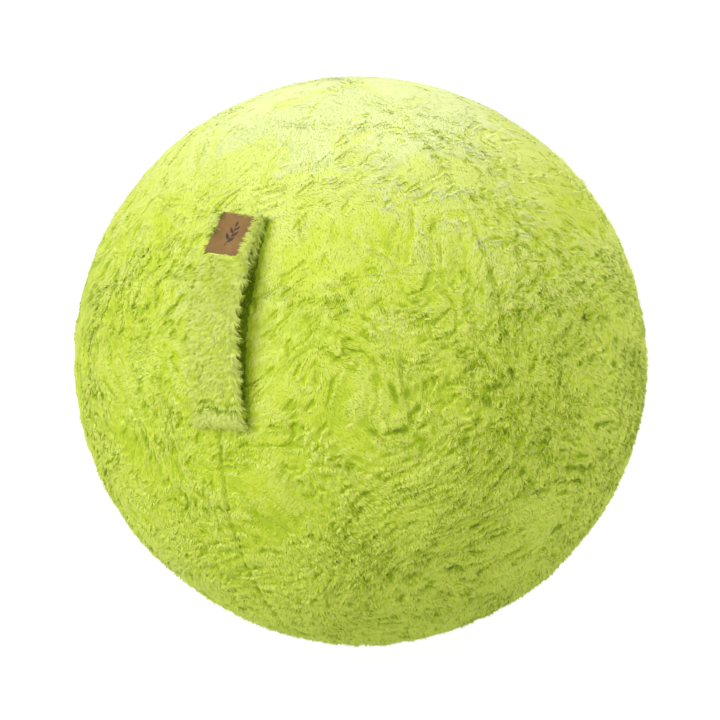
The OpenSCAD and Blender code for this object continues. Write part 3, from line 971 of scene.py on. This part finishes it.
def build_motif():
    """A plain sprig of leaves printed on the label."""
    share = np.linspace(0, 1, 24)
    stem = np.stack([3.5 * MM * np.sin(share * 2.2) - 2 * MM, mix(-15 * MM, 9 * MM, share)], axis=1)
    tubes = [ribbon(stem, mix(1.1 * MM, 0.7 * MM, share), 0.12 * MM)]
    leaf = np.linspace(0, 1, 18)
    shape = np.maximum(np.sin(np.pi * leaf) ** 0.8 * (1.15 - 0.5 * leaf), 0.05)
    for place, way, size in LEAVES:
        root = stem[int(place * 23)]
        angle = math.radians(90 - 48 * way) + 0.35 * way * leaf
        step = np.stack([np.cos(angle), np.sin(angle)], axis=1) * (size * MM / len(leaf))
        tubes.append(ribbon(root + np.cumsum(step, axis=0), shape * size * 0.38 * MM, 0.12 * MM))
    return tubes_object("label_sprig", tubes, PRINT, sharp=40)


def build_label_stitches():
    """The thread that holds the label: a row along each of its four edges."""
    pitch, length, inset = 4 * MM, 2.6 * MM, 2 * MM
    half_w, half_l = LABEL_W / 2 - inset, LABEL_LEN / 2 - inset
    tubes = []
    for count, reach, along_x in ((10, half_l, True), (12, half_w, False)):
        for edge in (-reach, reach):
            for i in range(count):
                place = (i - (count - 1) / 2) * pitch
                ends = [(place - length / 2, edge), (place + length / 2, edge)]
                ends = ends if along_x else [(b, a) for a, b in ends]
                low, high = [on_label(x, y, LABEL_T) for x, y in ends]
                outwards = unit(on_label(ends[0][0], ends[0][1], 1.0) - low)
                path = stitch_path(low, high, outwards * 0.3 * MM)
                tubes.append(round_rings(path, 0.3 * MM, 6, outwards))
    return tubes_object("label_stitches", tubes, TAN_THREAD)


def build_label():
    patch = label_body()
    sprig = build_motif()
    stitches = build_label_stitches()
    for obj, slot in ((patch, "label_leather"), (sprig, "label_leather"), (stitches, "label_thread")):
        bend(obj)
    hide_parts("label")
    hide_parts("label_thread")


# ---- zip ----------------------------------------------------------------------------------------


def build_coil(node, side):
    """One nylon coil of the zip: a wire wound along its tape's edge."""
    pitch, wire, steps = 1.7 * MM, 0.36 * MM, 10
    length = math.radians(ZIP_HIGH - ZIP_LOW) * COIL_LOW
    turns = int(length / pitch) - 1
    phase = np.arange(turns * steps + 1) / steps
    lat = np.radians(mix(ZIP_LOW + 0.2, ZIP_HIGH - 0.2, phase / turns))
    angle = 2 * math.pi * phase
    mid_x = side * (COIL_IN + COIL_OUT) / 2
    x = mid_x + ((COIL_OUT - COIL_IN) / 2 - wire) * np.cos(angle)
    r = COIL_LOW + COIL_SIZE / 2 + (COIL_SIZE / 2 - wire) * np.sin(angle)
    path = CENTRE + np.stack([x, r * np.cos(lat), r * np.sin(lat)], axis=1)
    along_zip = np.stack([0 * lat, -np.sin(lat), np.cos(lat)], axis=1)
    obj = tubes_object(node + "_wound", [round_rings(path, wire, 6, along_zip)], COIL)
    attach(obj, "root")
    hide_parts(node)


NODE_MATERIALS = {
    "seam_thread": SEAM_THREAD,
    "inner_ball": VINYL,
    "valve_seat": RUBBER,
    "valve_plug": PLASTIC,
    "zip_tape_left": ZIP_TAPE,
    "zip_tape_right": ZIP_TAPE,
    "zip_top_stop": METAL,
    "zip_bottom_stop": METAL,
    "zip_slider": METAL,
    "zip_pull": METAL,
}


def paint_nodes():
    for node, material in NODE_MATERIALS.items():
        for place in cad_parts[node].material_slots:
            place.material = material


# ---- camera, floor and light --------------------------------------------------------------------

VIEW_AZIMUTH = 28.75
VIEW_ELEVATION = 15.0
VIEW_ROLL = -1.9
VIEW_DISTANCE = 6.0
VIEW_DROP = 1.2 * MM  # the camera stands this much lower than straight out from the ball's centre
LENS = 265.6
FLOOR_RADIUS = 14

# Light that the camera sees on the floor and behind it, and light that each casts on the object.
FLOOR_SEEN, FLOOR_CAST = (0.97, 0.97, 0.97), (0.81, 0.86, 0.54)
ROOM_SEEN, ROOM_CAST = (1, 1, 1), (0.88, 0.86, 0.76)
SOFTBOX_DISTANCE = 3.0
SOFTBOX_SIZE = 1.6
# Name, azimuth from the view's, elevation and power of each softbox.
SOFTBOXES = [
    ("left_behind", 153, 60, 20),
    ("right_behind", 209, 60, 20),
    ("front_left", -48, 27, 46),
    ("right", 70, 35, 23),
]


def towards(azimuth, elevation):
    """The direction from the ball to a place at an azimuth, 0 in front and 90 at +X, and elevation."""
    a, e = math.radians(azimuth), math.radians(elevation)
    return Vector((math.sin(a) * math.cos(e), -math.cos(a) * math.cos(e), math.sin(e)))


def place_camera():
    back = towards(VIEW_AZIMUTH, VIEW_ELEVATION)
    data = bpy.data.cameras.new("camera")
    data.lens = LENS
    cam = bpy.data.objects.new("camera", data)
    bpy.context.scene.collection.objects.link(cam)
    cam.location = Vector(CENTRE) + back * VIEW_DISTANCE + Vector((0, 0, -VIEW_DROP))
    turn = back.to_track_quat("Z", "Y").to_matrix() @ Euler((0, 0, math.radians(VIEW_ROLL))).to_matrix()
    cam.rotation_euler = turn.to_euler()
    bpy.context.scene.camera = cam


def softbox(name, azimuth, elevation, power):
    """A round soft lamp that points at the ball's centre and that the camera doesn't see."""
    back = towards(azimuth, elevation)
    data = bpy.data.lights.new(name, "AREA")
    data.shape = "DISK"
    data.size = SOFTBOX_SIZE
    data.energy = power
    lamp = bpy.data.objects.new(name, data)
    bpy.context.scene.collection.objects.link(lamp)
    lamp.visible_camera = False
    lamp.location = Vector(CENTRE) + back * SOFTBOX_DISTANCE
    lamp.rotation_euler = back.to_track_quat("Z", "Y").to_euler()


def seen_or_cast(tree, seen, cast):
    """One light where the camera looks straight at a surface, another where it falls on the object."""
    path = add_node(tree, "ShaderNodeLightPath")
    choice = add_node(tree, "ShaderNodeMixRGB", Color1=(*cast, 1), Color2=(*seen, 1))
    tree.links.new(path.outputs["Is Camera Ray"], choice.inputs["Fac"])
    return choice.outputs["Color"]


def build_stage():
    """A white floor and room that give even light, and softboxes that the camera doesn't see."""
    mat, tree, shader = new_material("floor_white", (0.08, 0.08, 0.08), 0.9)
    shader.inputs["Emission Strength"].default_value = 1
    tree.links.new(seen_or_cast(tree, FLOOR_SEEN, FLOOR_CAST), shader.inputs["Emission Color"])
    bpy.ops.mesh.primitive_circle_add(vertices=96, radius=FLOOR_RADIUS, fill_type="NGON")
    floor = bpy.context.object
    floor.name = "floor"
    floor.data.materials.append(mat)
    world = bpy.data.worlds.new("studio")
    bpy.context.scene.world = world
    world.use_nodes = True
    tree = world.node_tree
    tree.links.new(seen_or_cast(tree, ROOM_SEEN, ROOM_CAST), tree.nodes["Background"].inputs["Color"])
    for name, turn, elevation, power in SOFTBOXES:
        softbox(name, VIEW_AZIMUTH + turn, elevation, power)
    bpy.context.scene.view_settings.view_transform = "Standard"


place_camera()
build_stage()
build_cover()
build_strap()
build_label()
build_coil("zip_coil_left", -1)
build_coil("zip_coil_right", 1)
paint_nodes()
